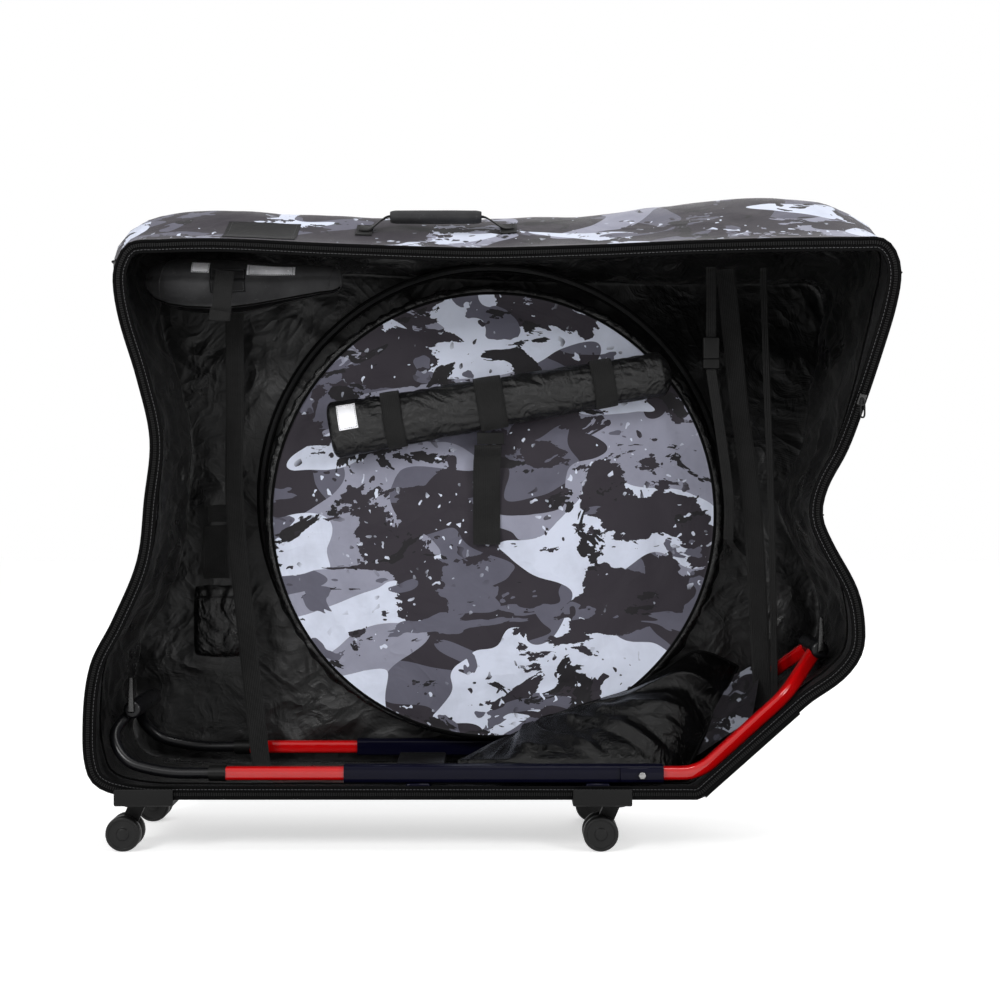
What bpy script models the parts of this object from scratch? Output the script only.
"""Soft travel bag on castors: fabric shell, tube frame, wheel pocket, straps and handle.

The long side lies along X with the front end at +X, the open side faces -Y, and +Z is up.
The origin is on the floor under the middle of the bag. Lengths are in metres.
"""

import math

import bmesh
import bpy
from mathutils import Vector

# Unit
mm = 0.001

# Driving dimensions of the shell. Its height follows from the wheel pocket, further down.
BAG_LENGTH = 1114 * mm
BASE_HEIGHT = 78.4 * mm
WIDEST_HALF = 222 * mm
BASE_HALF = 135 * mm
CROWN_HEIGHT = 97 * mm
SKIN = 5 * mm
RIM_STEP = 48 * mm
SKIRT_SHARE = 1.2
GUSSET_BANDS = 8
SHARP_DEGREES = 35

# Seats and clearances
SEAT = 0.3 * mm
SOFT_SEAT = 0.7 * mm

# Near zip band
BAND_WIDTH = 18 * mm
BAND_DEPTH = 6 * mm

# Tube frame on the floor of the bag
FLOOR_TOP = BASE_HEIGHT + SKIN
CROSSBAR_HEIGHT = 14 * mm
CROSSBAR_WIDTH = 34 * mm
CROSSBAR_TOP = FLOOR_TOP + SEAT + CROSSBAR_HEIGHT
RAIL_SIZE = 24 * mm
RAIL_WALL = 1.5 * mm
RAIL_INSET = 27 * mm
RAIL_Y = BASE_HALF - RAIL_INSET
RAIL_BOTTOM = CROSSBAR_TOP + SEAT
RAIL_Z = RAIL_BOTTOM + RAIL_SIZE / 2
ARM_DIAMETER = 20 * mm
UPRIGHT_DIAMETER = 16 * mm

# Wheel pocket on the far wall, from the rails up to the top lining
POCKET_X = 14 * mm
POCKET_RADIUS = 340 * mm
POCKET_FLARE = 6 * mm
POCKET_DEPTH = 65 * mm
POCKET_SKIN = 3 * mm
POCKET_BOTTOM_CLEARANCE = 2 * mm
POCKET_TOP_CLEARANCE = 48.4 * mm
POCKET_FACE_Y = BASE_HALF - POCKET_DEPTH
POCKET_Z = RAIL_BOTTOM + RAIL_SIZE + POCKET_BOTTOM_CLEARANCE + POCKET_FLARE + POCKET_RADIUS
SHELL_HEIGHT = POCKET_Z + POCKET_RADIUS + POCKET_TOP_CLEARANCE - BASE_HEIGHT
WHEEL_BULGE = 20 * mm
HUB_BULGE = 11 * mm
HUB_RADIUS = 62 * mm

# Axle standards that the tube frame's mounts follow
FORK_HUB_WIDTH = 100 * mm
REAR_HUB_WIDTH = 142 * mm
HUB_DIAMETER = 26 * mm

# Castors
WHEEL_DIAMETER = 50 * mm
WHEEL_WIDTH = 15 * mm
WEB_WIDTH = 8 * mm
CASTOR_TRAIL = 18 * mm
CASTOR_INSET = 40 * mm
CASTOR_Y = BASE_HALF - CASTOR_INSET


def along(share):
    """Place along the bag at a share of its half length."""
    return share * BAG_LENGTH / 2


def above(share):
    """Height above the floor at a share of the shell's height."""
    return BASE_HEIGHT + share * SHELL_HEIGHT


REAR_CASTOR_SHARE = -0.878
FRONT_CASTOR_SHARE = 0.3285
REAR_CASTOR_X = along(REAR_CASTOR_SHARE)
FRONT_CASTOR_X = along(FRONT_CASTOR_SHARE)

# Rim outline, counterclockwise seen from the open side. Each row holds shares: x of the half
# length, z of the shell height above the base, half width between the base's and the widest,
# and crown. A row's name says which lengths of the edge wall meet there, what sits there, or
# that the run after it is straight.
RIM_SHARES = [
    (-0.808, 0.998, 0.000, 0.64, ""),
    (-0.885, 0.992, 0.000, 0.52, ""),
    (-0.916, 0.961, 0.000, 0.38, "top_to_rear"),
    (-0.925, 0.923, 0.000, 0.22, ""),
    (-0.910, 0.855, 0.000, 0.12, ""),
    (-0.865, 0.748, 0.000, 0.10, ""),
    (-0.833, 0.641, 0.000, 0.10, ""),
    (-0.847, 0.534, 0.000, 0.10, ""),
    (-0.865, 0.426, 0.000, 0.10, ""),
    (-0.926, 0.320, 0.000, 0.10, ""),
    (-0.982, 0.239, 0.000, 0.08, ""),
    (-1.000, 0.133, 0.000, 0.05, ""),
    (-0.987, 0.043, 0.000, 0.02, ""),
    (-0.937, 0.013, 0.000, 0.00, "rear_to_base"),
    (-0.795, 0.000, 0.000, 0.00, "straight_floor"),
    (0.533, 0.000, 0.000, 0.00, "base_to_ramp"),
    (0.569, 0.017, 0.000, 0.00, "straight_ramp"),
    (0.803, 0.165, 0.000, 0.00, "ramp_to_nose"),
    (0.898, 0.214, 0.000, 0.01, ""),
    (0.943, 0.257, 0.000, 0.03, ""),
    (0.952, 0.306, 0.000, 0.05, ""),
    (0.934, 0.374, 0.000, 0.08, ""),
    (0.869, 0.462, 0.000, 0.10, ""),
    (0.846, 0.507, 0.000, 0.10, "nose_to_front"),
    (0.858, 0.555, 0.030, 0.10, ""),
    (0.903, 0.623, 0.170, 0.10, ""),
    (0.937, 0.708, 0.475, 0.10, "zip_slider"),
    (0.966, 0.793, 0.780, 0.10, ""),
    (0.991, 0.869, 0.960, 0.10, ""),
    (1.000, 0.924, 1.000, 0.11, "front_to_top"),
    (0.987, 0.961, 1.000, 0.22, ""),
    (0.957, 0.982, 1.000, 0.70, ""),
    (0.899, 0.984, 1.000, 0.90, ""),
    (0.693, 0.983, 0.975, 1.00, ""),
    (0.487, 0.982, 0.780, 0.87, ""),
    (0.278, 0.981, 0.450, 0.72, ""),
    (-0.022, 0.981, 0.130, 0.68, ""),
    (-0.381, 0.991, 0.000, 0.64, ""),
    (-0.661, 1.000, 0.000, 0.64, ""),
]
RIM_ROWS = {row[-1]: i for i, row in enumerate(RIM_SHARES) if row[-1]}
STRAIGHT_AFTER = {RIM_ROWS["straight_floor"], RIM_ROWS["straight_ramp"]}

BLACK_FABRIC = ("black_fabric", (0.020, 0.020, 0.022), 0.75, 0.0)
CAMO_FABRIC = ("camo_fabric", (0.30, 0.30, 0.32), 0.70, 0.0)
GLOSS_FABRIC = ("gloss_fabric", (0.018, 0.018, 0.020), 0.35, 0.0)
WEBBING = ("webbing", (0.016, 0.016, 0.017), 0.80, 0.0)
BLACK_PLASTIC = ("black_plastic", (0.022, 0.022, 0.024), 0.45, 0.0)
GREY_PLASTIC = ("grey_plastic", (0.060, 0.059, 0.057), 0.50, 0.0)
WHEEL_RUBBER = ("wheel_rubber", (0.030, 0.030, 0.030), 0.65, 0.0)
NAVY_STEEL = ("navy_steel", (0.016, 0.017, 0.035), 0.35, 0.6)
RED_STEEL = ("red_steel", (0.62, 0.010, 0.012), 0.28, 0.3)
BRIGHT_STEEL = ("bright_steel", (0.62, 0.62, 0.64), 0.30, 1.0)


def clear_scene():
    """Remove every object that the scene opened with."""
    for item in list(bpy.data.objects):
        bpy.data.objects.remove(item)


def material_for(node, finish):
    """Make the node's own Principled material."""
    name, colour, roughness, metallic = finish
    surface = bpy.data.materials.new(f"{node}_{name}")
    surface.use_nodes = True
    shader = surface.node_tree.nodes["Principled BSDF"]
    shader.inputs["Base Color"].default_value = (*colour, 1.0)
    shader.inputs["Roughness"].default_value = roughness
    shader.inputs["Metallic"].default_value = metallic
    return surface


def add_solid(node, points, faces, finish, origin=(0.0, 0.0, 0.0), parent=None):
    """Add one closed mesh whose origin is at the given world point."""
    centre = Vector(origin)
    mesh = bpy.data.meshes.new(node)
    mesh.from_pydata([Vector(p) - centre for p in points], [], faces)
    work = bmesh.new()
    work.from_mesh(mesh)
    bmesh.ops.recalc_face_normals(work, faces=work.faces)
    work.to_mesh(mesh)
    work.free()
    mesh.shade_smooth()
    mesh.set_sharp_from_angle(angle=math.radians(SHARP_DEGREES))
    mesh.materials.append(material_for(node, finish))
    solid = bpy.data.objects.new(node, mesh)
    bpy.context.scene.collection.objects.link(solid)
    place_solid(solid, centre, parent)
    return solid


def place_solid(solid, centre, parent):
    """Put the object at its world point, through its parent where it has one."""
    if parent is None:
        solid.location = centre
        return
    solid.parent = parent
    solid.location = centre - parent.location


def add_empty(name, place):
    """Mark a joint's axis, or a place that pieces are measured from."""
    mark = bpy.data.objects.new(name, None)
    mark.empty_display_size = WHEEL_DIAMETER
    mark.location = Vector(place)
    bpy.context.scene.collection.objects.link(mark)
    return mark


def loft(rings, closed=False):
    """Join rings of equal length into a skin, with flat ends unless it closes on itself."""
    count = len(rings[0])
    points = [p for ring in rings for p in ring]
    faces = []
    spans = len(rings) if closed else len(rings) - 1
    for i in range(spans):
        here = i * count
        there = ((i + 1) % len(rings)) * count
        for j in range(count):
            k = (j + 1) % count
            faces.append((here + j, here + k, there + k, there + j))
    if not closed:
        faces.append(tuple(range(count)))
        faces.append(tuple(range(len(points) - count, len(points))))
    return points, faces


def block(low, high):
    """Points and faces of a box between two corners."""
    xs, ys, zs = zip(low, high)
    rings = []
    for x in xs:
        rings.append([(x, ys[0], zs[0]), (x, ys[1], zs[0]), (x, ys[1], zs[1]), (x, ys[0], zs[1])])
    return loft(rings)


def circle(radius, sides, turn=0.0):
    """Points of a circle in its own plane."""
    angles = [turn + math.tau * i / sides for i in range(sides)]
    return [(radius * math.cos(a), radius * math.sin(a)) for a in angles]


def turned_y(profile, centre, sides):
    """Lathe a profile of (radius, y) pairs about a line along Y."""
    rings = []
    for radius, y in profile:
        ring = [(centre[0] + u, centre[1] + y, centre[2] + v) for u, v in circle(radius, sides)]
        rings.append(ring)
    return loft(rings)


def turned_z(profile, centre, sides):
    """Lathe a profile of (radius, z) pairs about a vertical line."""
    rings = []
    for radius, z in profile:
        ring = [(centre[0] + u, centre[1] + v, centre[2] + z) for u, v in circle(radius, sides)]
        rings.append(ring)
    return loft(rings)


def smooth_path(points, pieces):
    """Curve through the points, with tangents from each point's neighbours."""
    knots = [Vector(p) for p in points]
    last = len(knots) - 1
    slopes = []
    for i in range(len(knots)):
        ahead = knots[min(i + 1, last)]
        behind = knots[max(i - 1, 0)]
        slopes.append((ahead - behind).normalized())
    path = []
    for i in range(last):
        reach = (knots[i + 1] - knots[i]).length
        leave = slopes[i] * reach
        arrive = slopes[i + 1] * reach
        for k in range(pieces):
            path.append(hermite(knots[i], knots[i + 1], leave, arrive, k / pieces))
    path.append(knots[-1])
    return path


def hermite(start, end, leave, arrive, t):
    """Point at share t of a cubic that leaves and arrives along two tangents."""
    squared = t * t
    cubed = squared * t
    return (
        start * (2 * cubed - 3 * squared + 1)
        + leave * (cubed - 2 * squared + t)
        + end * (3 * squared - 2 * cubed)
        + arrive * (cubed - squared)
    )


def tube(path, radius, sides):
    """Round tube along a path, its rings turned with the path and never twisted."""
    rings = []
    side = Vector((0.0, 1.0, 0.0))
    for i, point in enumerate(path):
        ahead = path[min(i + 1, len(path) - 1)]
        behind = path[max(i - 1, 0)]
        forward = (Vector(ahead) - Vector(behind)).normalized()
        side = (side - forward * side.dot(forward)).normalized()
        up = forward.cross(side)
        flat = circle(radius, sides, math.pi / sides)
        rings.append([Vector(point) + side * u + up * v for u, v in flat])
    return loft(rings)


def ribbon(path, width, thickness, across):
    """Flat webbing along a path, its width along the given direction."""
    rings = []
    wide = Vector(across).normalized() * width / 2
    for i, point in enumerate(path):
        ahead = Vector(path[min(i + 1, len(path) - 1)])
        behind = Vector(path[max(i - 1, 0)])
        out = (ahead - behind).cross(wide).normalized() * thickness / 2
        centre = Vector(point)
        rings.append([centre - wide - out, centre + wide - out, centre + wide + out, centre - wide + out])
    return loft(rings)


# Shell

class Station:
    """One place on the rim: its point, outward direction, half width and crown."""

    def __init__(self, x, z, half, crown):
        self.x = x
        self.z = z
        self.half = half
        self.crown = crown
        self.out = Vector((0.0, 0.0))
        self.along = Vector((0.0, 0.0))

    def rim(self, inward=0.0):
        """Point of the outline, moved inwards by a distance."""
        return self.x - self.out[0] * inward, self.z - self.out[1] * inward


def rim_knots():
    """Real places of the outline's rows."""
    knots = []
    for x_share, z_share, half_share, crown_share, _ in RIM_SHARES:
        place = Vector((along(x_share), above(z_share)))
        half = BASE_HALF + half_share * (WIDEST_HALF - BASE_HALF)
        knots.append((place, half, crown_share * CROWN_HEIGHT))
    return knots


def rim_slopes(knots):
    """Unit tangent at each knot, along the run where a straight run starts or ends."""
    count = len(knots)
    slopes = []
    for i in range(count):
        behind = knots[i - 1][0]
        here = knots[i][0]
        ahead = knots[(i + 1) % count][0]
        if i in STRAIGHT_AFTER:
            slopes.append((ahead - here).normalized())
        elif (i - 1) in STRAIGHT_AFTER:
            slopes.append((here - behind).normalized())
        else:
            slopes.append((ahead - behind).normalized())
    return slopes


def rim_stations():
    """Stations round the whole rim, and the station number of each outline row."""
    knots = rim_knots()
    slopes = rim_slopes(knots)
    count = len(knots)
    stations = []
    starts = []
    for i, (place, half, crown) in enumerate(knots):
        following, next_half, next_crown = knots[(i + 1) % count]
        reach = (following - place).length
        pieces = max(1, round(reach / RIM_STEP))
        starts.append(len(stations))
        for k in range(pieces):
            t = k / pieces
            spot = hermite(place, following, slopes[i] * reach, slopes[(i + 1) % count] * reach, t)
            half_here = half + (next_half - half) * t
            crown_here = crown + (next_crown - crown) * t
            stations.append(Station(spot[0], spot[1], half_here, crown_here))
    for i, station in enumerate(stations):
        ahead = stations[(i + 1) % len(stations)]
        behind = stations[i - 1]
        station.along = Vector((ahead.x - behind.x, ahead.z - behind.z)).normalized()
        station.out = Vector((station.along[1], -station.along[0]))
    return stations, starts


def arch(u):
    """Height share of the tent-like gusset at share u of its half width."""
    return (1 - u * u) / (1 + SKIRT_SHARE * u * u)


def gusset_section(station, shift):
    """Closed section of the gusset at a station: outside edge to edge, then inside back."""
    x = station.x + station.along[0] * shift
    z = station.z + station.along[1] * shift
    outside = []
    inside = []
    for j in range(GUSSET_BANDS + 1):
        u = 2 * j / GUSSET_BANDS - 1
        rise = station.crown * arch(u)
        y = u * station.half
        outside.append((x + station.out[0] * rise, y, z + station.out[1] * rise))
        inside.append((x + station.out[0] * (rise - SKIN), y, z + station.out[1] * (rise - SKIN)))
    return outside + inside[::-1]


def gusset(node, stations, first, last, finish):
    """Strip of the shell's edge wall between two stations."""
    numbers = list(range(first, last + 1 if last > first else last + len(stations) + 1))
    sections = []
    for place, i in enumerate(numbers):
        shift = 0.0
        if place == 0:
            shift = SEAT / 2
        elif place == len(numbers) - 1:
            shift = -SEAT / 2
        sections.append(gusset_section(stations[i % len(stations)], shift))
    points, faces = loft(sections)
    faces = faces[:-2]
    width = len(sections[0])
    for start in (0, len(points) - width):
        for j in range(GUSSET_BANDS):
            inner = width - 1 - j
            faces.append((start + j, start + j + 1, start + inner - 1, start + inner))
    add_solid(node, points, faces, finish)


def make_shell(stations, starts):
    """The edge wall in six sewn or moulded lengths, and the zip band along the near rim."""
    lengths = (
        ("base_tray", "rear_to_base", "base_to_ramp", BLACK_PLASTIC),
        ("base_ramp", "base_to_ramp", "ramp_to_nose", BLACK_PLASTIC),
        ("nose_gusset", "ramp_to_nose", "nose_to_front", BLACK_FABRIC),
        ("front_gusset", "nose_to_front", "front_to_top", CAMO_FABRIC),
        ("top_gusset", "front_to_top", "top_to_rear", CAMO_FABRIC),
        ("rear_gusset", "top_to_rear", "rear_to_base", BLACK_FABRIC),
    )
    for node, first, last, finish in lengths:
        gusset(node, stations, starts[RIM_ROWS[first]], starts[RIM_ROWS[last]], finish)
    sections = []
    for station in stations:
        near = -station.half - SEAT
        x, z = station.rim()
        deep_x, deep_z = station.rim(BAND_WIDTH)
        front = near - BAND_DEPTH
        sections.append([(x, near, z), (x, front, z), (deep_x, front, deep_z), (deep_x, near, deep_z)])
    points, faces = loft(sections, closed=True)
    add_solid("zip_band", points, faces, BLACK_FABRIC)


PANEL_RING_SHARES = [0.09, 0.22, 0.40, 0.62, 0.84]
FLARE_END_SHARE = 0.55


def far_wall_y(x, z, half, share):
    """Inner face of the far wall at a share of the way from the rim to the pocket's centre."""
    ease = min(1.0, share / FLARE_END_SHARE)
    ease = ease * ease * (3 - 2 * ease)
    y = half + (BASE_HALF - half) * ease
    away = math.hypot(x - POCKET_X, z - POCKET_Z) / (POCKET_RADIUS + POCKET_FLARE)
    if away < 1.0:
        y += WHEEL_BULGE * (1 - away * away)
    return y


def make_far_wall(stations):
    """Fabric wall that closes the far side and bulges over the wheel pocket."""
    inner = []
    outer = []
    for inset in (0.0, 2 * SKIN):
        hem = [(station.rim(inset), station.half + SEAT) for station in stations]
        inner.append([(x, y, z) for (x, z), y in hem])
        outer.append([(x, y + SKIN, z) for (x, z), y in hem])
    for share in PANEL_RING_SHARES:
        near_ring = []
        far_ring = []
        for station in stations:
            x = station.x + (POCKET_X - station.x) * share
            z = station.z + (POCKET_Z - station.z) * share
            y = far_wall_y(x, z, station.half, share) + SEAT
            near_ring.append((x, y, z))
            far_ring.append((x, y + SKIN, z))
        inner.append(near_ring)
        outer.append(far_ring)
    points, faces = loft(inner[::-1] + outer)
    add_solid("far_wall", points, faces, CAMO_FABRIC)


# Wheel pocket

POCKET_SIDES = 40
POCKET_GUSSET_SIDES = 26
POCKET_FACE_SHARES = [(0.30, 1.0), (0.75, 0.66), (1.1, 0.22), (1.6, 0.0)]
POCKET_MOUTH_START_SHARE = 160 / 360
POCKET_MOUTH_END_SHARE = 380 / 360


def make_wheel_pocket():
    """Round face panel with a soft hub bulge, and the wall that joins it to the far side."""
    profile = []
    for radius_share, rise_share in POCKET_FACE_SHARES:
        profile.append((radius_share * HUB_RADIUS, -rise_share * HUB_BULGE))
    profile.append((POCKET_RADIUS, 0.0))
    back = [(radius, y + POCKET_SKIN) for radius, y in profile[::-1]]
    centre = (POCKET_X, POCKET_FACE_Y, POCKET_Z)
    points, faces = turned_y(profile + back, centre, POCKET_SIDES)
    add_solid("pocket_face", points, faces, CAMO_FABRIC)
    sections = []
    front = POCKET_FACE_Y + POCKET_SKIN + SEAT
    sweep = POCKET_MOUTH_END_SHARE - POCKET_MOUTH_START_SHARE
    for i in range(POCKET_GUSSET_SIDES + 1):
        turn = POCKET_MOUTH_START_SHARE + sweep * i / POCKET_GUSSET_SIDES
        c = math.cos(turn * math.tau)
        s = math.sin(turn * math.tau)
        section = []
        for radius, y in pocket_gusset_section(front):
            section.append((POCKET_X + c * radius, y, POCKET_Z + s * radius))
        sections.append(section)
    points, faces = loft(sections)
    add_solid("pocket_gusset", points, faces, BLACK_FABRIC)


def pocket_gusset_section(front):
    """Radius and y of the pocket wall's corners, from the face to the far wall."""
    back = BASE_HALF
    return [
        (POCKET_RADIUS - POCKET_SKIN, front),
        (POCKET_RADIUS, front),
        (POCKET_RADIUS + POCKET_FLARE, back),
        (POCKET_RADIUS + POCKET_FLARE - POCKET_SKIN, back),
    ]


# Frame

RAIL_SHARES = (-0.352, 0.4524)
CROSSBAR_SHARES = (-0.165, 0.2873)
RAIL_REAR_X = along(RAIL_SHARES[0])
RAIL_FRONT_X = along(RAIL_SHARES[1])
REAR_CROSSBAR_X = along(CROSSBAR_SHARES[0])
FRONT_CROSSBAR_X = along(CROSSBAR_SHARES[1])
CRADLE_LENGTH = 70 * mm
CRADLE_WIDTH = 90 * mm
CRADLE_HEIGHT = 15 * mm
CLAMP_LENGTH = 61 * mm
CLAMP_HEIGHT = 20 * mm
CLAMP_THICKNESS = 4 * mm
BOLT_RADIUS = 5.5 * mm
BOLT_DEPTH = 5 * mm
HEX_SIDES = 6
TUBE_SIDES = 12
TUBE_PIECES = 3
TUBE_OVERLAP = 150 * mm
SLIDE_REACH = 30 * mm

# Places of the supports as shares: x of the half length, z of the shell height above the base,
# and where there is a third, y of the rails' distance from the middle.
FORK_MOUNT_SHARES = (0.874, 0.2546)
ARM_BEND_SHARE = 0.544
ARM_TOP_SHARES = (0.768, 0.1777, 0.852)
FORK_MOUNT_X = along(FORK_MOUNT_SHARES[0])
FORK_MOUNT_Z = above(FORK_MOUNT_SHARES[1])
ARM_BEND_X = along(ARM_BEND_SHARE)
ARM_TOP_X = along(ARM_TOP_SHARES[0])
ARM_TOP_Z = above(ARM_TOP_SHARES[1])
ARM_TOP_Y = RAIL_Y * ARM_TOP_SHARES[2]
ARM_END_Y = 20 * mm

REAR_MOUNT_SHARES = (-0.905, 0.147)
REAR_TUBE_END_SHARE = -0.693
UPRIGHT_FOOT_SHARE = -0.790
UPRIGHT_CORNER_SHARES = (-0.903, 0.056, 0.963)
UPRIGHT_BACK_SHARES = (-0.953, 0.1046, 0.778)
REAR_MOUNT_X = along(REAR_MOUNT_SHARES[0])
REAR_MOUNT_Z = above(REAR_MOUNT_SHARES[1])
REAR_TUBE_END_X = along(REAR_TUBE_END_SHARE)
UPRIGHT_FOOT_X = along(UPRIGHT_FOOT_SHARE)
UPRIGHT_CORNER_X = along(UPRIGHT_CORNER_SHARES[0])
UPRIGHT_CORNER_Z = above(UPRIGHT_CORNER_SHARES[1])
UPRIGHT_CORNER_Y = RAIL_Y * UPRIGHT_CORNER_SHARES[2]
UPRIGHT_BACK_X = along(UPRIGHT_BACK_SHARES[0])
UPRIGHT_BACK_Z = above(UPRIGHT_BACK_SHARES[1])
UPRIGHT_BACK_Y = RAIL_Y * UPRIGHT_BACK_SHARES[2]
UPRIGHT_END_Y = 40 * mm


def make_rail(node, side):
    """Square tube along the floor, open at both ends for the sliding tubes."""
    y = side * RAIL_Y
    half = RAIL_SIZE / 2
    hole = half - RAIL_WALL
    corners = [(-1, -1), (1, -1), (1, 1), (-1, 1)]
    rings = []
    for x, size in ((RAIL_REAR_X, half), (RAIL_FRONT_X, half), (RAIL_FRONT_X, hole), (RAIL_REAR_X, hole)):
        rings.append([(x, y + a * size, RAIL_Z + b * size) for a, b in corners])
    points, faces = loft(rings, closed=True)
    add_solid(node, points, faces, NAVY_STEEL)


def make_floor_frame():
    """Two rails on two cross bars, the cradle between them, and the clamp on the near rail."""
    make_rail("rail_near", -1)
    make_rail("rail_far", 1)
    reach = RAIL_Y + RAIL_SIZE / 2
    bottom = FLOOR_TOP + SEAT
    for node, x in (("crossbar_rear", REAR_CROSSBAR_X), ("crossbar_front", FRONT_CROSSBAR_X)):
        low = (x - CROSSBAR_WIDTH / 2, -reach, bottom)
        high = (x + CROSSBAR_WIDTH / 2, reach, CROSSBAR_TOP)
        add_solid(node, *block(low, high), NAVY_STEEL)
    low = (REAR_CROSSBAR_X - CRADLE_LENGTH / 2, -CRADLE_WIDTH / 2, CROSSBAR_TOP + SEAT)
    high = (REAR_CROSSBAR_X + CRADLE_LENGTH / 2, CRADLE_WIDTH / 2, CROSSBAR_TOP + SEAT + CRADLE_HEIGHT)
    add_solid("bracket_cradle", *block(low, high), BLACK_PLASTIC)
    face = -RAIL_Y - RAIL_SIZE / 2 - SEAT
    low = (RAIL_FRONT_X - CLAMP_LENGTH, face - CLAMP_THICKNESS, RAIL_Z - CLAMP_HEIGHT / 2)
    high = (RAIL_FRONT_X, face, RAIL_Z + CLAMP_HEIGHT / 2)
    add_solid("rail_clamp", *block(low, high), NAVY_STEEL)
    head = face - CLAMP_THICKNESS - SEAT
    profile = [(BOLT_RADIUS, 0.0), (BOLT_RADIUS, -BOLT_DEPTH)]
    centre = (RAIL_FRONT_X - CLAMP_LENGTH / 2, head, RAIL_Z)
    add_solid("clamp_bolt", *turned_y(profile, centre, HEX_SIDES), BRIGHT_STEEL)


def end_at_hub(path, hub, tube_radius):
    """Last point of a tube's path, drawn back along its run to just clear of a hub along Y."""
    before = Vector(path[-1])
    gap = Vector(hub) - before
    flat = math.hypot(gap.x, gap.z)
    lean = tube_radius * abs(gap.y) / gap.length
    return before + gap * (1 - (HUB_DIAMETER / 2 + lean + SEAT) / flat)


HUB_END_SHARE = 0.75
HUB_SIDES = 16


def make_hub(node, x, z, width, parent):
    """Round cross piece of a standard axle width, with a flat on each end."""
    radius = HUB_DIAMETER / 2
    step = radius * (1 - HUB_END_SHARE)
    half = width / 2
    profile = [
        (radius * HUB_END_SHARE, -half),
        (radius, -half + step),
        (radius, half - step),
        (radius * HUB_END_SHARE, half),
    ]
    add_solid(node, *turned_y(profile, (x, 0.0, z), HUB_SIDES), BLACK_PLASTIC, parent=parent)


LEVER_LENGTH = 48 * mm
LEVER_HEIGHT = 9 * mm
LEVER_THICKNESS = 7 * mm
LEVER_TIP_SHARE = 0.6
LEVER_FOOT_STEPS = 4


def make_lever(node, hub_x, hub_z, width):
    """Quick-release lever on the near end of a hub, closed, pointing up, round about its pivot."""
    pivot = (hub_x, -width / 2 - SEAT - LEVER_THICKNESS / 2, hub_z)
    half = LEVER_THICKNESS / 2
    tall = LEVER_HEIGHT / 2
    rows = []
    for i in range(1, LEVER_FOOT_STEPS + 1):
        angle = math.pi / 2 * (1 - i / LEVER_FOOT_STEPS)
        rows.append((-half * math.sin(angle), tall, half * math.cos(angle)))
    rows.append((LEVER_LENGTH, tall * LEVER_TIP_SHARE, half))
    rings = []
    for reach, across, deep in rows:
        z = pivot[2] + reach
        rings.append(
            [
                (pivot[0] - across, pivot[1] - deep, z),
                (pivot[0] + across, pivot[1] - deep, z),
                (pivot[0] + across, pivot[1] + deep, z),
                (pivot[0] - across, pivot[1] + deep, z),
            ]
        )
    add_solid(node, *loft(rings), BRIGHT_STEEL, origin=pivot)


def make_front_support():
    """Red tubes that slide in the rails, rise along the ramp and carry the front mount."""
    mark = add_empty("front_support_slide", (RAIL_FRONT_X, 0.0, RAIL_Z))
    hub = Vector((FORK_MOUNT_X, 0.0, FORK_MOUNT_Z))
    for node, side in (("front_arm_near", -1), ("front_arm_far", 1)):
        knots = [
            (RAIL_FRONT_X - TUBE_OVERLAP, side * RAIL_Y, RAIL_Z),
            (RAIL_FRONT_X + SLIDE_REACH, side * RAIL_Y, RAIL_Z),
            (ARM_BEND_X, side * RAIL_Y, RAIL_Z + SEAT),
            (ARM_TOP_X, side * ARM_TOP_Y, ARM_TOP_Z),
        ]
        target = hub + Vector((0.0, side * ARM_END_Y, 0.0))
        knots.append(end_at_hub(knots, target, ARM_DIAMETER / 2))
        path = [Vector(knots[0])] + smooth_path(knots[1:], TUBE_PIECES)
        add_solid(node, *tube(path, ARM_DIAMETER / 2, TUBE_SIDES), RED_STEEL, parent=mark)
    make_hub("fork_mount", FORK_MOUNT_X, FORK_MOUNT_Z, FORK_HUB_WIDTH, mark)
    make_lever("fork_lever", FORK_MOUNT_X, FORK_MOUNT_Z, FORK_HUB_WIDTH)


def make_rear_support():
    """Red tubes that slide in the rails, and black uprights that carry the rear mount."""
    mark = add_empty("rear_support_slide", (RAIL_REAR_X, 0.0, RAIL_Z))
    hub = Vector((REAR_MOUNT_X, 0.0, REAR_MOUNT_Z))
    for place, side in (("near", -1), ("far", 1)):
        path = [
            (RAIL_REAR_X + TUBE_OVERLAP, side * RAIL_Y, RAIL_Z),
            (REAR_TUBE_END_X, side * RAIL_Y, RAIL_Z),
        ]
        points, faces = tube(path, ARM_DIAMETER / 2, TUBE_SIDES)
        add_solid(f"rear_tube_{place}", points, faces, RED_STEEL, parent=mark)
        knots = [
            (REAR_TUBE_END_X - SEAT, side * RAIL_Y, RAIL_Z),
            (UPRIGHT_FOOT_X, side * RAIL_Y, RAIL_Z),
            (UPRIGHT_CORNER_X, side * UPRIGHT_CORNER_Y, UPRIGHT_CORNER_Z),
            (UPRIGHT_BACK_X, side * UPRIGHT_BACK_Y, UPRIGHT_BACK_Z),
        ]
        target = hub + Vector((0.0, side * UPRIGHT_END_Y, 0.0))
        knots.append(end_at_hub(knots, target, UPRIGHT_DIAMETER / 2))
        path = smooth_path(knots, TUBE_PIECES)
        points, faces = tube(path, UPRIGHT_DIAMETER / 2, TUBE_SIDES)
        add_solid(f"rear_upright_{place}", points, faces, NAVY_STEEL, parent=mark)
    make_hub("rear_mount", REAR_MOUNT_X, REAR_MOUNT_Z, REAR_HUB_WIDTH, mark)
    make_lever("rear_lever", REAR_MOUNT_X, REAR_MOUNT_Z, REAR_HUB_WIDTH)


# Castors

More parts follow.
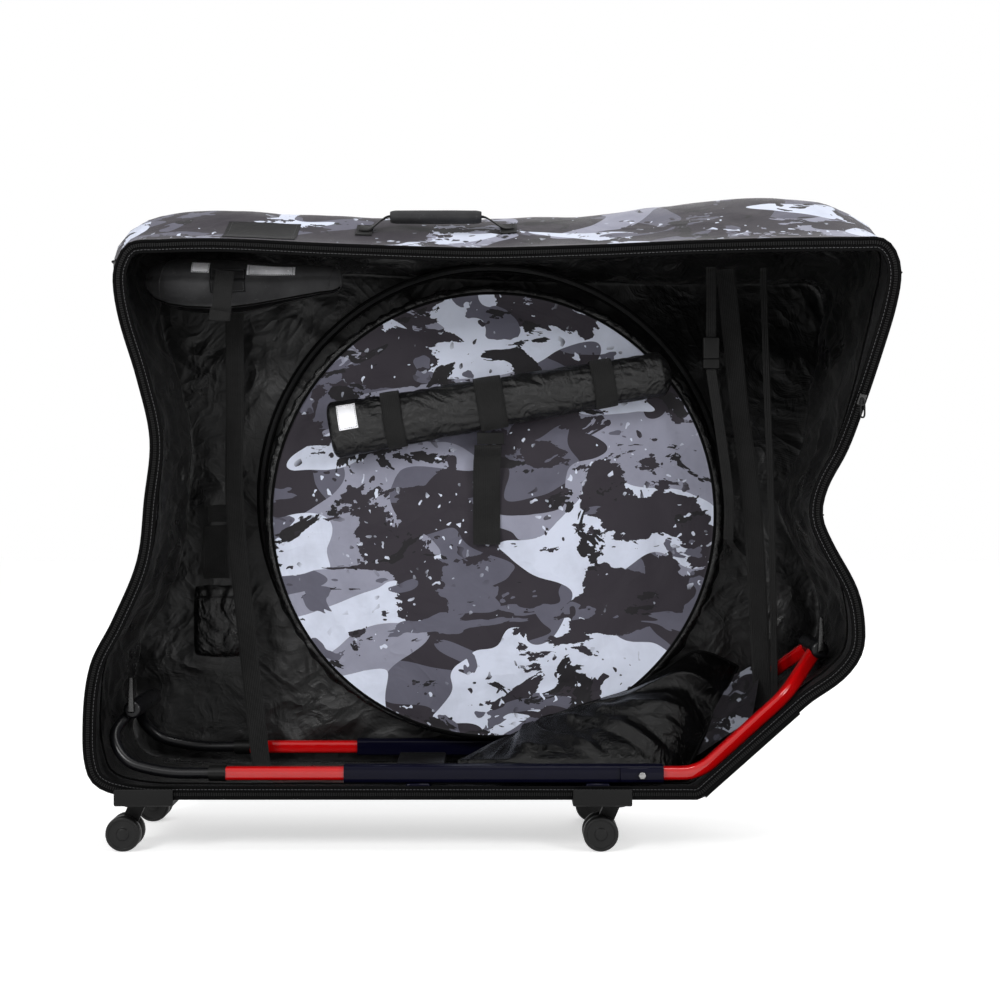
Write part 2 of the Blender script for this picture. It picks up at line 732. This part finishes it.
BRACKET_LENGTH = 82 * mm
BRACKET_DEPTH = 78 * mm
BRACKET_PLATE = 8 * mm
BRACKET_LIP = 3.5 * mm
BRACKET_LIP_RISE = 16 * mm
BRACKET_CHAMFER = 3 * mm
HOOD_RADIUS = 21 * mm
HOOD_CAP = 7 * mm
HOOD_WAIST = 12 * mm
AXLE_RADIUS = 4 * mm
AXLE_CLEARANCE = 0.5 * mm
WHEEL_EDGE = 2.5 * mm
WHEEL_DISH = 2 * mm
WHEEL_HUB_SHARE = 0.6
WHEEL_SIDES = 24
AXLE_SIDES = 12


def make_bracket(node, x, side):
    """Plate under the base with a lip up its side."""
    top = BASE_HEIGHT - SEAT
    wall = BASE_HALF + SEAT + BAND_DEPTH + SEAT
    outline = [
        (wall - BRACKET_DEPTH, top - BRACKET_PLATE),
        (wall + BRACKET_LIP - BRACKET_CHAMFER, top - BRACKET_PLATE),
        (wall + BRACKET_LIP, top - BRACKET_PLATE + BRACKET_CHAMFER),
        (wall + BRACKET_LIP, top + BRACKET_LIP_RISE),
        (wall, top + BRACKET_LIP_RISE),
        (wall, top),
        (wall - BRACKET_DEPTH, top),
    ]
    rings = []
    for end in (x - BRACKET_LENGTH / 2, x + BRACKET_LENGTH / 2):
        rings.append([(end, side * y, z) for y, z in outline])
    add_solid(node, *loft(rings), GREY_PLASTIC)


def make_cutter(node, points, faces, origin):
    """Helper solid that a Boolean reads and that isn't a piece of its own."""
    helper = add_solid(node, points, faces, GREY_PLASTIC, origin=origin)
    helper.hide_render = True
    helper.display_type = "WIRE"
    return helper


def make_hood(node, x, y):
    """Swivel head: a round cap under the bracket and a web below it that carries the axle."""
    top = BASE_HEIGHT - SEAT - BRACKET_PLATE - SEAT
    origin = (x, y, top)
    cap = [(HOOD_RADIUS, -HOOD_CAP), (HOOD_RADIUS, 0.0)]
    hood = add_solid(node, *turned_z(cap, origin, WHEEL_SIDES), GREY_PLASTIC, origin=origin)
    axle_x = x - CASTOR_TRAIL
    axle_z = WHEEL_DIAMETER / 2
    foot = [(axle_x + u, axle_z + v) for u, v in circle(HOOD_WAIST, AXLE_SIDES) if v <= AXLE_CLEARANCE]
    foot.sort()
    head_z = top - HOOD_CAP / 2
    outline = foot + [(x + HOOD_WAIST, head_z), (x - HOOD_WAIST, head_z)]
    web = [[(u, y + side * WEB_WIDTH / 2, v) for u, v in outline] for side in (-1, 1)]
    round_hole = circle(AXLE_RADIUS + AXLE_CLEARANCE, WHEEL_SIDES)
    bore = [[(axle_x + u, y + side * WEB_WIDTH, axle_z + v) for u, v in round_hole] for side in (-1, 1)]
    for name, rings, action in (("web", web, "UNION"), ("bore", bore, "DIFFERENCE")):
        step = hood.modifiers.new(name, "BOOLEAN")
        step.operation = action
        step.object = make_cutter(f"{node}_{name}", *loft(rings), origin)


def make_twin_wheel(node, x, y):
    """Two discs on one axle, either side of the web."""
    radius = WHEEL_DIAMETER / 2
    inside = WEB_WIDTH / 2 + 2 * AXLE_CLEARANCE
    outside = inside + WHEEL_WIDTH
    half_profile = [
        (radius * WHEEL_HUB_SHARE, outside - WHEEL_DISH),
        (radius - WHEEL_EDGE, outside),
        (radius, outside - WHEEL_EDGE),
        (radius, inside),
        (AXLE_RADIUS, inside),
    ]
    profile = half_profile + [(r, -d) for r, d in half_profile[::-1]]
    centre = (x - CASTOR_TRAIL, y, radius)
    add_solid(node, *turned_y(profile, centre, WHEEL_SIDES), WHEEL_RUBBER, origin=centre)


def make_castors():
    """Four castors: a fixed bracket, a swivelling hood and a twin wheel each."""
    for end, x in (("rear", REAR_CASTOR_X), ("front", FRONT_CASTOR_X)):
        for place, side in (("near", -1), ("far", 1)):
            shift = -CASTOR_TRAIL if end == "front" else CASTOR_TRAIL
            make_bracket(f"castor_bracket_{end}_{place}", x + shift, side)
            make_hood(f"castor_hood_{end}_{place}", x, side * CASTOR_Y)
            make_twin_wheel(f"castor_wheel_{end}_{place}", x, side * CASTOR_Y)


# Carry handle

GRIP_LENGTH = 130 * mm
GRIP_SHARE = -0.122
GRIP_X = along(GRIP_SHARE)
GRIP_Y = -80 * mm
GRIP_WIDE = 14 * mm
GRIP_TALL = 9 * mm
GRIP_LIFT = 7 * mm
GRIP_SIDES = 12
GRIP_END_SHARE = 0.8
HANDLE_WEB_LENGTH = 26 * mm
HANDLE_WEB_WIDTH = 22 * mm
HANDLE_WEB_THICKNESS = 2.5 * mm
ANCHOR_LENGTH = 24 * mm
ANCHOR_WIDTH = 34 * mm
ANCHOR_THICKNESS = 3 * mm
ANCHOR_STEPS = 4


def top_stations(stations, starts):
    """Stations of the top stretch, from the rear to the front."""
    front = starts[RIM_ROWS["front_to_top"]]
    rear = starts[RIM_ROWS["top_to_rear"]]
    run = stations[front:] + stations[: rear + 1]
    return run[::-1]


def top_surface(top, x, y):
    """Height of the outside of the top gusset over a place in plan."""
    for left, right in zip(top, top[1:]):
        if left.x <= x <= right.x:
            t = (x - left.x) / (right.x - left.x)
            heights = []
            for station in (left, right):
                place = (abs(y) / station.half) * GUSSET_BANDS / 2
                band = math.floor(place)
                low = arch(2 * band / GUSSET_BANDS)
                high = arch(2 * (band + 1) / GUSSET_BANDS)
                heights.append(station.z + station.crown * (low + (high - low) * (place - band)))
            return heights[0] + (heights[1] - heights[0]) * t
    raise ValueError("the place lies outside the top of the bag")


def draped_patch(top, x_low, x_high, y_low, y_high, thickness):
    """Patch that follows the top gusset."""
    rings = []
    for i in range(ANCHOR_STEPS + 1):
        x = x_low + (x_high - x_low) * i / ANCHOR_STEPS
        lower = []
        upper = []
        for j in range(ANCHOR_STEPS + 1):
            y = y_low + (y_high - y_low) * j / ANCHOR_STEPS
            z = top_surface(top, x, y) + SOFT_SEAT
            lower.append((x, y, z))
            upper.append((x, y, z + thickness))
        rings.append(lower + upper[::-1])
    return loft(rings)


def make_handle(top):
    """Padded grip on two webbing ends, which rest on two anchors sewn to the top."""
    seat_z = top_surface(top, GRIP_X, GRIP_Y) + SOFT_SEAT + ANCHOR_THICKNESS
    centre_z = seat_z + GRIP_LIFT + GRIP_TALL
    mark = add_empty("handle_lift", (GRIP_X, GRIP_Y, centre_z))
    rings = []
    half = GRIP_LENGTH / 2
    full = half - GRIP_TALL
    rows = ((-half, GRIP_END_SHARE), (-full, 1.0), (full, 1.0), (half, GRIP_END_SHARE))
    for reach, size in rows:
        ring = []
        for u, v in circle(size, GRIP_SIDES):
            ring.append((GRIP_X + reach, GRIP_Y + u * GRIP_WIDE, centre_z + v * GRIP_TALL))
        rings.append(ring)
    add_solid("handle_grip", *loft(rings), BLACK_FABRIC, parent=mark)
    for place, side in (("rear", -1), ("front", 1)):
        inner = GRIP_X + side * (half + SEAT)
        outer = inner + side * (HANDLE_WEB_LENGTH + ANCHOR_LENGTH)
        anchor_x = sorted((inner + side * HANDLE_WEB_LENGTH, outer))
        y_low = GRIP_Y - ANCHOR_WIDTH / 2
        y_high = GRIP_Y + ANCHOR_WIDTH / 2
        points, faces = draped_patch(top, anchor_x[0], anchor_x[1], y_low, y_high, ANCHOR_THICKNESS)
        add_solid(f"handle_anchor_{place}", points, faces, WEBBING)
        make_handle_web(top, f"handle_web_{place}", inner, outer, side, centre_z, mark)


def make_handle_web(top, node, inner, outer, side, centre_z, mark):
    """Webbing from the grip's end down to its seat on the anchor."""
    y_low = GRIP_Y - HANDLE_WEB_WIDTH / 2
    y_high = GRIP_Y + HANDLE_WEB_WIDTH / 2
    rest = SOFT_SEAT + ANCHOR_THICKNESS + SEAT
    rings = []
    for i in range(ANCHOR_STEPS + 1):
        share = i / ANCHOR_STEPS
        x = inner + (outer - side * ANCHOR_LENGTH / ANCHOR_STEPS - inner) * share
        ease = min(1.0, 2 * share)
        lower = []
        upper = []
        for j in range(ANCHOR_STEPS + 1):
            y = y_low + (y_high - y_low) * j / ANCHOR_STEPS
            low = top_surface(top, x, y) + rest
            z = centre_z - HANDLE_WEB_THICKNESS / 2
            z = max(low, z + (low - z) * ease)
            lower.append((x, y, z))
            upper.append((x, y, z + HANDLE_WEB_THICKNESS))
        rings.append(lower + upper[::-1])
    add_solid(node, *loft(rings), WEBBING, parent=mark)


# Straps, pad and covers inside

WEB_THICKNESS = 2 * mm
STRAP_PIECES = 4

PAD_END_SHARES = ((-0.415, 0.665), (0.506, 0.779))
PAD_REAR_X = along(PAD_END_SHARES[0][0])
PAD_REAR_Z = above(PAD_END_SHARES[0][1])
PAD_FRONT_X = along(PAD_END_SHARES[1][0])
PAD_FRONT_Z = above(PAD_END_SHARES[1][1])
PAD_REAR_TALL = 43 * mm
PAD_FRONT_TALL = 33 * mm
PAD_HALF_DEPTH = 27 * mm
PAD_SIDES = 14
PAD_RING_SHARES = [(0.0, 0.86), (0.05, 1.0), (0.5, 1.0), (0.95, 1.0), (1.0, 0.86)]
PAD_BAND_SHARE = 0.47
PAD_BAND_WIDTH = 41 * mm
PAD_BAND_THICKNESS = 1.6 * mm

CENTRE_STRAP_BOTTOM_SHARE = 0.443
CENTRE_STRAP_BOTTOM_Z = above(CENTRE_STRAP_BOTTOM_SHARE)
LOCK_HEIGHT = 18 * mm
LOCK_THICKNESS = 5 * mm

SADDLE_SHARES = (-0.890, 0.9405)
SADDLE_REAR_X = along(SADDLE_SHARES[0])
SADDLE_Z = above(SADDLE_SHARES[1])
SADDLE_LENGTH = 286 * mm
SADDLE_TALL = 38 * mm
SADDLE_HALF_WIDTH = 72 * mm
SADDLE_SKIN = 4 * mm
SADDLE_SIDES = 14
SADDLE_RINGS_SHARES = [
    (0.0, 0.45, 0.40, 0.10),
    (0.06, 0.80, 0.72, 0.06),
    (0.22, 1.00, 1.00, 0.0),
    (0.42, 1.00, 1.00, -0.04),
    (0.62, 0.62, 0.80, 0.04),
    (0.82, 0.40, 0.55, 0.22),
    (1.0, 0.22, 0.30, 0.30),
]

STRAP_MID_SHARE = 0.502
STRAP_MID_Z = above(STRAP_MID_SHARE)
REAR_STRAP_SHARES = (-0.684, -0.610)
REAR_STRAP_WIDTH = 28 * mm
FRONT_STRAP_SHARES = (0.603, 0.650)
FRONT_STRAP_TOP_X = along(FRONT_STRAP_SHARES[0])
FRONT_STRAP_LOW_X = along(FRONT_STRAP_SHARES[1])
FRONT_STRAP_WIDTH = 15 * mm
FRONT_STRAP_END_SHARE = 0.456
FRONT_STRAP_END_Z = above(FRONT_STRAP_END_SHARE)
BUCKLE_TOP_SHARE = 0.8405
BUCKLE_TOP_Z = above(BUCKLE_TOP_SHARE)
BUCKLE_WIDTH = 24 * mm
BUCKLE_DEPTH = 11 * mm
SOCKET_HEIGHT = 32 * mm
PLUG_HEIGHT = 14 * mm
BUCKLE_WALL = 2 * mm
TONGUE_CLEARANCE = 0.4 * mm
WIDE_STRAP_SHARES = (0.648, 0.722, 0.750)
WIDE_STRAP_WIDTH = 28 * mm
WIDE_STRAP_Y = 25 * mm
THIN_STRAP_SHARES = (0.745, 0.767, 0.776)
THIN_STRAP_WIDTH = 10 * mm
THIN_STRAP_Y = 10 * mm

POUCH_SHARES = (-0.747, 0.288)
POUCH_X = along(POUCH_SHARES[0])
POUCH_Z = above(POUCH_SHARES[1])
POUCH_WIDTH = 78 * mm
POUCH_HEIGHT = 116 * mm
POUCH_DEPTH = 22 * mm
POUCH_PUFF_SHARE = 0.75

COVER_LENGTH = 220 * mm
COVER_OVERHANG = 76 * mm
COVER_CLEARANCE = 12 * mm
COVER_FRONT_X = FRONT_CROSSBAR_X + COVER_OVERHANG
COVER_REAR_X = COVER_FRONT_X - COVER_LENGTH
COVER_HALF_WIDTH = RAIL_Y - RAIL_SIZE / 2 - COVER_CLEARANCE
COVER_HEIGHT = 22 * mm
COVER_ROUND = 8 * mm


def lining_z(top, x, y, width):
    """Height just under the top lining for webbing of a width."""
    heights = [top_surface(top, x + side * width / 2, y) for side in (-1, 0, 1)]
    return min(heights) - SKIN - SOFT_SEAT


def wall_inside(stations, x, z):
    """Inner face of the far wall over a place, from the nearest run of the rim."""
    best = None
    for station in stations:
        run = Vector((POCKET_X - station.x, POCKET_Z - station.z))
        gap = Vector((x - station.x, z - station.z))
        share = max(0.0, min(1.0, gap.dot(run) / run.dot(run)))
        miss = (gap - run * share).length
        if best is None or miss < best[0]:
            best = (miss, far_wall_y(x, z, station.half, share))
    return best[1]


def ramp_top(x):
    """Height of the ramp's inner face over a place along the bag."""
    low = rim_knots()[RIM_ROWS["base_to_ramp"] + 1][0]
    high = rim_knots()[RIM_ROWS["ramp_to_nose"]][0]
    rise = (high[1] - low[1]) / (high[0] - low[0])
    lift = SKIN * math.hypot(1.0, rise)
    return low[1] + (x - low[0]) * rise + lift


def pad_section(share, inset, size=1.0):
    """Ring of the pad at a share of its length, drawn in by an inset."""
    x = PAD_REAR_X + (PAD_FRONT_X - PAD_REAR_X) * share
    z = PAD_REAR_Z + (PAD_FRONT_Z - PAD_REAR_Z) * share
    tall = (PAD_REAR_TALL + (PAD_FRONT_TALL - PAD_REAR_TALL) * share) * size - inset
    deep = PAD_HALF_DEPTH * size - inset
    ring = []
    for u, v in circle(1.0, PAD_SIDES):
        ring.append((x - v * tall * pad_lean(), pad_y() + u * deep, z + v * tall))
    return ring


def pad_lean():
    """Sideways share of the pad's sections, square to its slope."""
    return (PAD_FRONT_Z - PAD_REAR_Z) / (PAD_FRONT_X - PAD_REAR_X)


def pad_y():
    """Middle of the pad, whose band rests on the pocket's face."""
    return POCKET_FACE_Y - SEAT - PAD_BAND_THICKNESS - 2 * SEAT - PAD_HALF_DEPTH


def make_pad():
    """Tube pad, rolled up and held on the pocket's face by a band."""
    roll = [pad_section(share, 0.0, size) for share, size in PAD_RING_SHARES]
    add_solid("top_tube_pad", *loft(roll), GLOSS_FABRIC)
    span = PAD_BAND_WIDTH / (PAD_FRONT_X - PAD_REAR_X) / 2
    low = PAD_BAND_SHARE - span
    high = PAD_BAND_SHARE + span
    inner = -2 * SEAT
    outer = inner - PAD_BAND_THICKNESS
    corners = ((low, outer), (high, outer), (high, inner), (low, inner))
    rings = [pad_section(share, inset) for share, inset in corners]
    add_solid("pad_band", *loft(rings, closed=True), WEBBING)
    x = PAD_REAR_X + (PAD_FRONT_X - PAD_REAR_X) * PAD_BAND_SHARE
    z = PAD_REAR_Z + (PAD_FRONT_Z - PAD_REAR_Z) * PAD_BAND_SHARE
    tall = PAD_REAR_TALL + (PAD_FRONT_TALL - PAD_REAR_TALL) * PAD_BAND_SHARE
    drop = tall + PAD_BAND_WIDTH / 2 * pad_lean() + PAD_BAND_THICKNESS + 3 * SEAT
    make_centre_strap(x, z - drop)


def make_centre_strap(x, top_z):
    """Ladder lock under the pad's band, and the strap from it to its sewn end on the pocket."""
    low = (x - PAD_BAND_WIDTH / 2, pad_y() - LOCK_THICKNESS / 2, top_z - LOCK_HEIGHT)
    high = (x + PAD_BAND_WIDTH / 2, pad_y() + LOCK_THICKNESS / 2, top_z)
    add_solid("ladder_lock", *block(low, high), BLACK_PLASTIC)
    back = POCKET_FACE_Y - HUB_BULGE - SEAT - WEB_THICKNESS / 2
    start = top_z - LOCK_HEIGHT - SEAT
    bend = start - 2 * WEB_THICKNESS
    front = pad_y()
    path = [
        (x, front, start),
        (x, front, bend),
        (x, back, bend - LOCK_HEIGHT),
        (x, back, CENTRE_STRAP_BOTTOM_Z),
    ]
    add_webbing("centre_strap", path, PAD_BAND_WIDTH)


def saddle_section(length_share, width_share, tall_share, drop_share, inset):
    """Half-open arch of the saddle cover at a share of its length."""
    x = SADDLE_REAR_X + SADDLE_LENGTH * length_share
    wide = SADDLE_HALF_WIDTH * width_share - inset
    tall = SADDLE_TALL * tall_share - inset
    base = SADDLE_Z + SADDLE_TALL * drop_share
    ring = []
    for i in range(SADDLE_SIDES + 1):
        angle = math.pi * i / SADDLE_SIDES
        ring.append((x, wide * math.cos(angle), base + tall * math.sin(angle)))
    return ring


def make_saddle_cover():
    """Padded saddle cover, open underneath."""
    sections = []
    for row in SADDLE_RINGS_SHARES:
        outside = saddle_section(*row, 0.0)
        inside = saddle_section(*row, SADDLE_SKIN)
        drop = [(x, y, z - SADDLE_TALL * row[2]) for x, y, z in (outside[0], outside[-1])]
        hem = [(x, y, z - SADDLE_TALL * row[2]) for x, y, z in (inside[0], inside[-1])]
        sections.append([drop[0]] + outside + [drop[1], hem[1]] + inside[::-1] + [hem[0]])
    points, faces = loft(sections)
    add_solid("saddle_cover", points, faces, BLACK_FABRIC)


def add_webbing(node, path, width, parent=None):
    """Flat webbing whose width lies along the bag."""
    points, faces = ribbon(path, width, WEB_THICKNESS, (1.0, 0.0, 0.0))
    add_solid(node, points, faces, WEBBING, parent=parent)


def make_straps(top):
    """Webbing that hangs inside, from the top lining down to the floor and the ramp."""
    strap_y = SADDLE_HALF_WIDTH + SEAT + WEB_THICKNESS / 2
    head_x = along(REAR_STRAP_SHARES[0])
    foot_x = along(REAR_STRAP_SHARES[1])
    knots = [
        (head_x, strap_y, lining_z(top, head_x, strap_y, REAR_STRAP_WIDTH)),
        (head_x, strap_y, STRAP_MID_Z),
        (foot_x, strap_y, FLOOR_TOP + SEAT),
    ]
    add_webbing("rear_strap", smooth_path(knots, STRAP_PIECES), REAR_STRAP_WIDTH)
    rows = (
        ("wide_strap", WIDE_STRAP_SHARES, WIDE_STRAP_WIDTH, WIDE_STRAP_Y),
        ("thin_strap", THIN_STRAP_SHARES, THIN_STRAP_WIDTH, THIN_STRAP_Y),
    )
    for node, shares, width, y in rows:
        head_x, mid_x, foot_x = [along(share) for share in shares]
        knots = [
            (head_x, y, lining_z(top, head_x, y, width)),
            (mid_x, y, STRAP_MID_Z),
            (foot_x, y, ramp_top(foot_x + width / 2) + SEAT),
        ]
        add_webbing(node, smooth_path(knots, STRAP_PIECES), width)
    make_buckle_strap(top)


def make_buckle_strap(top):
    """Strap with a side-release buckle: socket above, plug and loose end below."""
    x = FRONT_STRAP_TOP_X
    head_z = lining_z(top, x, 0.0, FRONT_STRAP_WIDTH)
    path = [(x, 0.0, head_z), (x, 0.0, BUCKLE_TOP_Z + SEAT)]
    add_webbing("buckle_strap_upper", path, FRONT_STRAP_WIDTH)
    mouth_z = BUCKLE_TOP_Z - SOCKET_HEIGHT
    half_wide = BUCKLE_WIDTH / 2
    half_deep = BUCKLE_DEPTH / 2
    rings = []
    for z, inset in ((mouth_z, BUCKLE_WALL), (mouth_z, 0.0), (BUCKLE_TOP_Z, 0.0)):
        rings.append(rectangle(x, z, half_wide - inset, half_deep - inset))
    cavity_top = BUCKLE_TOP_Z - 2 * BUCKLE_WALL
    inner = rectangle(x, cavity_top, half_wide - BUCKLE_WALL, half_deep - BUCKLE_WALL)
    points, faces = loft([inner] + rings)
    add_solid("buckle_socket", points, faces, BLACK_PLASTIC)
    plug_top = mouth_z - SEAT
    tongue_wide = half_wide - BUCKLE_WALL - TONGUE_CLEARANCE
    tongue_deep = half_deep - BUCKLE_WALL - TONGUE_CLEARANCE
    tongue_top = cavity_top - BUCKLE_WALL
    mark = add_empty("buckle_plug_slide", (x, 0.0, plug_top))
    rings = [
        rectangle(x, tongue_top, tongue_wide, tongue_deep),
        rectangle(x, plug_top, tongue_wide, tongue_deep),
        rectangle(x, plug_top, half_wide, half_deep),
        rectangle(x, plug_top - PLUG_HEIGHT, half_wide, half_deep),
    ]
    add_solid("buckle_plug", *loft(rings), BLACK_PLASTIC, parent=mark)
    start = plug_top - PLUG_HEIGHT - SEAT
    knots = [(x, 0.0, start), (FRONT_STRAP_LOW_X, 0.0, (start + FRONT_STRAP_END_Z) / 2)]
    knots.append((FRONT_STRAP_LOW_X, 0.0, FRONT_STRAP_END_Z))
    add_webbing("buckle_strap_lower", smooth_path(knots, STRAP_PIECES), FRONT_STRAP_WIDTH, mark)


def rectangle(x, z, half_wide, half_deep):
    """Level ring of four corners."""
    corners = ((-1, -1), (1, -1), (1, 1), (-1, 1))
    return [(x + a * half_wide, b * half_deep, z) for a, b in corners]


def make_pouch(stations):
    """Small puffed pouch against the far wall."""
    back = wall_inside(stations, POUCH_X, POUCH_Z) - SEAT
    rings = []
    rows = ((1.0, back), (1.0, back - POUCH_DEPTH / 2), (POUCH_PUFF_SHARE, back - POUCH_DEPTH))
    for size, y in rows:
        wide = POUCH_WIDTH / 2 * size
        tall = POUCH_HEIGHT / 2 * size
        corners = ((-1, -1), (1, -1), (1, 1), (-1, 1))
        rings.append([(POUCH_X + a * wide, y, POUCH_Z + b * tall) for a, b in corners])
    add_solid("tool_pouch", *loft(rings), GLOSS_FABRIC)


def make_side_cover():
    """The unzipped side cover, folded flat and laid on the front cross bar between the rails."""
    low = CROSSBAR_TOP + SEAT
    rings = []
    for x, inset in (
        (COVER_REAR_X, COVER_ROUND),
        (COVER_REAR_X + COVER_ROUND, 0.0),
        (COVER_FRONT_X - COVER_ROUND, 0.0),
        (COVER_FRONT_X, COVER_ROUND),
    ):
        wide = COVER_HALF_WIDTH - inset
        top = low + COVER_HEIGHT
        rings.append(
            [
                (x, -wide, low),
                (x, wide, low),
                (x, wide, top - COVER_ROUND),
                (x, wide - COVER_ROUND, top - inset / 2),
                (x, -wide + COVER_ROUND, top - inset / 2),
                (x, -wide, top - COVER_ROUND),
            ]
        )
    add_solid("side_cover", *loft(rings), GLOSS_FABRIC)


# Zip slider

SLIDER_LENGTH = 16 * mm
SLIDER_WIDTH = 10 * mm
SLIDER_THICKNESS = 5 * mm
SLIDER_SEAT = 0.7 * mm
PULL_LENGTH = 26 * mm
PULL_WIDTH = 9 * mm
PULL_THICKNESS = 3 * mm


def aligned_block(centre, axes, sizes):
    """Box about a centre, with a size along each of three directions."""
    corners = ((-1, -1), (1, -1), (1, 1), (-1, 1))
    rings = []
    for end in (-1, 1):
        ring = []
        for a, b in corners:
            reach = axes[0] * end * sizes[0] + axes[1] * a * sizes[1] + axes[2] * b * sizes[2]
            ring.append(centre + reach / 2)
        rings.append(ring)
    return loft(rings)


def make_zip_slider(stations, starts):
    """Slider on the near face of the zip band, and the pull that hangs from it."""
    knots = rim_knots()
    row = RIM_ROWS["zip_slider"]
    low, low_half, _ = knots[row - 1]
    high, high_half, _ = knots[row + 1]
    run = Vector((high[0] - low[0], low_half - high_half, high[1] - low[1])).normalized()
    station = stations[starts[row]]
    out = Vector((station.out[0], 0.0, station.out[1]))
    face = run.cross(out).normalized()
    if face.y > 0:
        face = -face
    x, z = station.rim(BAND_WIDTH / 2)
    band = Vector((x, -station.half - SEAT - BAND_DEPTH, z))
    centre = band + face * (SLIDER_SEAT + SLIDER_THICKNESS / 2)
    sizes = (SLIDER_LENGTH, SLIDER_WIDTH, SLIDER_THICKNESS)
    points, faces = aligned_block(centre, (run, out, face), sizes)
    slider = add_solid("zip_slider", points, faces, BRIGHT_STEEL, origin=centre)
    lean = PULL_THICKNESS * abs(run.y)
    pivot = centre + Vector((0.0, -SLIDER_THICKNESS / 2 - lean - SEAT - PULL_THICKNESS / 2, 0.0))
    corner = Vector((PULL_WIDTH / 2, PULL_THICKNESS / 2, PULL_THICKNESS / 2))
    foot = pivot - Vector((PULL_WIDTH / 2, PULL_THICKNESS / 2, PULL_LENGTH))
    pull = block(foot, pivot + corner)
    add_solid("zip_pull", *pull, BLACK_PLASTIC, origin=pivot, parent=slider)


def main():
    clear_scene()
    stations, starts = rim_stations()
    top = top_stations(stations, starts)
    make_shell(stations, starts)
    make_far_wall(stations)
    make_wheel_pocket()
    make_floor_frame()
    make_front_support()
    make_rear_support()
    make_castors()
    make_handle(top)
    make_pad()
    make_saddle_cover()
    make_straps(top)
    make_pouch(stations)
    make_side_cover()
    make_zip_slider(stations, starts)


main()
